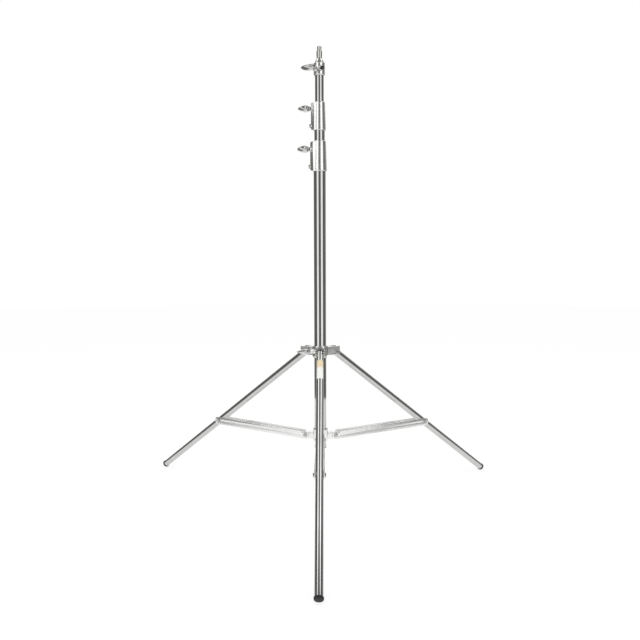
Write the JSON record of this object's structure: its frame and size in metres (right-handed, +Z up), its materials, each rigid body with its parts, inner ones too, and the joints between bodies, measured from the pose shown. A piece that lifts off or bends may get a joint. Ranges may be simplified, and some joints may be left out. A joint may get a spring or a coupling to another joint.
{
  "type": "light stand",
  "caption": "Folding steel light stand with tubular legs, channel braces, a sliding leg collar and telescoping risers, topped by a 16 mm stud.",
  "frame": {"origin": "on the floor, under the middle of the stand's box; the column's axis stands 155.7 mm behind it, along +Y", "axes": "+Z up along the column; the front leg points along -Y, the other two to the back right and the back left"},
  "size_m": [1.1052, 0.9602, 1.3213],
  "materials": {
    "chrome_tube": "bright chrome plating over drawn steel tube",
    "polished_casting": "polished and plated die casting",
    "wing_handle": "bright plated zinc casting",
    "stud_plating": "satin plated turned steel",
    "brace_channel": "plated folded sheet steel",
    "zinc_fastener": "zinc plated steel",
    "black_fastener": "black oxide coated steel",
    "nylon": "natural moulded nylon",
    "black_plastic": "moulded",
    "black_rubber": "moulded matt rubber",
    "label": "blank printed film"
  },
  "bodies": {
    "column": {"column_tube": "chrome_tube", "column_end_plug": "black_plastic", "column_collar": "polished_casting", "column_set_bolt": "zinc_fastener", "column_brake_shoe": "nylon", "base_collar": "polished_casting", "base_set_bolt": "zinc_fastener", "front_brace_rivet": "zinc_fastener", "right_brace_rivet": "zinc_fastener", "left_brace_rivet": "zinc_fastener"},
    "column_handle": {"column_clamp_screw": "zinc_fastener", "column_wing_handle": "wing_handle"},
    "leg_collar": {"leg_collar": "polished_casting", "leg_collar_brake_shoe": "nylon", "front_leg_pivot_bolt": "zinc_fastener", "right_leg_pivot_bolt": "zinc_fastener", "left_leg_pivot_bolt": "zinc_fastener", "front_leg_pivot_nut": "zinc_fastener", "right_leg_pivot_nut": "zinc_fastener", "left_leg_pivot_nut": "zinc_fastener"},
    "leg_collar_handle": {"leg_collar_clamp_screw": "zinc_fastener", "leg_collar_wing_handle": "wing_handle"},
    "front_leg": {"front_leg_tube": "chrome_tube", "front_foot_plug": "black_rubber", "front_leg_bush": "nylon", "front_brace_sleeve": "zinc_fastener", "leg_label": "label"},
    "front_brace": {"front_brace": "brace_channel", "front_tip_bolt_near": "zinc_fastener", "front_tip_bolt_far": "zinc_fastener"},
    "right_leg": {"right_leg_tube": "chrome_tube", "right_foot_plug": "black_rubber", "right_leg_bush": "nylon", "right_brace_sleeve": "zinc_fastener"},
    "right_brace": {"right_brace": "brace_channel", "right_tip_bolt_near": "zinc_fastener", "right_tip_bolt_far": "zinc_fastener"},
    "left_leg": {"left_leg_tube": "chrome_tube", "left_foot_plug": "black_rubber", "left_leg_bush": "nylon", "left_brace_sleeve": "zinc_fastener"},
    "left_brace": {"left_brace": "brace_channel", "left_tip_bolt_near": "zinc_fastener", "left_tip_bolt_far": "zinc_fastener"},
    "riser_1": {"riser_1_tube": "chrome_tube", "riser_1_guide": "nylon", "riser_1_collar": "polished_casting", "riser_1_set_bolt": "zinc_fastener", "riser_1_brake_shoe": "nylon"},
    "riser_1_handle": {"riser_1_clamp_screw": "zinc_fastener", "riser_1_wing_handle": "wing_handle"},
    "riser_2": {"riser_2_tube": "chrome_tube", "riser_2_guide": "nylon", "top_casting": "polished_casting", "top_set_bolt": "black_fastener"},
    "top_handle": {"top_clamp_screw": "zinc_fastener", "top_wing_handle": "wing_handle"},
    "stud": {"stud": "stud_plating"}
  },
  "joints": [
    {"name": "leg_fold", "type": "slide", "parent": "column", "child": "leg_collar", "axis": [0, 0, 1], "range_m": [0, 0.4931]},
    {"name": "front_leg_turn", "type": "hinge", "parent": "leg_collar", "child": "front_leg", "pos_m": [0, 0.10271, 0.44375], "axis": [1, 0, 0], "range_deg": [0, 52.9]},
    {"name": "right_leg_turn", "type": "hinge", "parent": "leg_collar", "child": "right_leg", "pos_m": [0.0459, 0.18221, 0.44375], "axis": [-0.5, 0.866, 0], "range_deg": [0, 52.9]},
    {"name": "left_leg_turn", "type": "hinge", "parent": "leg_collar", "child": "left_leg", "pos_m": [-0.0459, 0.18221, 0.44375], "axis": [-0.5, -0.866, 0], "range_deg": [0, 52.9]},
    {"name": "front_brace_turn", "type": "hinge", "parent": "column", "child": "front_brace", "pos_m": [0, 0.10971, 0.19383], "axis": [-1, 0, 0], "range_deg": [0, 88.3]},
    {"name": "right_brace_turn", "type": "hinge", "parent": "column", "child": "right_brace", "pos_m": [0.03984, 0.17871, 0.19383], "axis": [0.5, -0.866, 0], "range_deg": [0, 88.3]},
    {"name": "left_brace_turn", "type": "hinge", "parent": "column", "child": "left_brace", "pos_m": [-0.03984, 0.17871, 0.19383], "axis": [0.5, 0.866, 0], "range_deg": [0, 88.3]},
    {"name": "riser_1_lift", "type": "slide", "parent": "column", "child": "riser_1", "axis": [0, 0, 1], "range_m": [0, 0.74]},
    {"name": "riser_2_lift", "type": "slide", "parent": "riser_1", "child": "riser_2", "axis": [0, 0, 1], "range_m": [0, 0.8]},
    {"name": "stud_lift", "type": "slide", "parent": "riser_2", "child": "stud", "axis": [0, 0, 1], "range_m": [0, 0.04]},
    {"name": "column_handle_turn", "type": "hinge", "parent": "column", "child": "column_handle", "pos_m": [-0.03, 0.15571, 1.0353], "axis": [-1, 0, 0], "range_deg": [0, 360]},
    {"name": "riser_1_handle_turn", "type": "hinge", "parent": "riser_1", "child": "riser_1_handle", "pos_m": [-0.03, 0.15571, 1.1488], "axis": [-1, 0, 0], "range_deg": [0, 360]},
    {"name": "top_handle_turn", "type": "hinge", "parent": "riser_2", "child": "top_handle", "pos_m": [-0.02229, 0.13564, 1.2583], "axis": [-0.7431, -0.6691, 0], "range_deg": [0, 360]},
    {"name": "leg_collar_handle_turn", "type": "hinge", "parent": "leg_collar", "child": "leg_collar_handle", "pos_m": [-0.02719, 0.14303, 0.45135], "axis": [-0.9063, -0.4226, 0], "range_deg": [0, 360]}
  ],
  "couplings": [
    {"joint": "front_leg_turn", "follows": "leg_fold", "rad_per_m": 1.8723},
    {"joint": "right_leg_turn", "follows": "leg_fold", "rad_per_m": 1.8723},
    {"joint": "left_leg_turn", "follows": "leg_fold", "rad_per_m": 1.8723},
    {"joint": "front_brace_turn", "follows": "leg_fold", "rad_per_m": 3.1251},
    {"joint": "right_brace_turn", "follows": "leg_fold", "rad_per_m": 3.1251},
    {"joint": "left_brace_turn", "follows": "leg_fold", "rad_per_m": 3.1251}
  ]
}
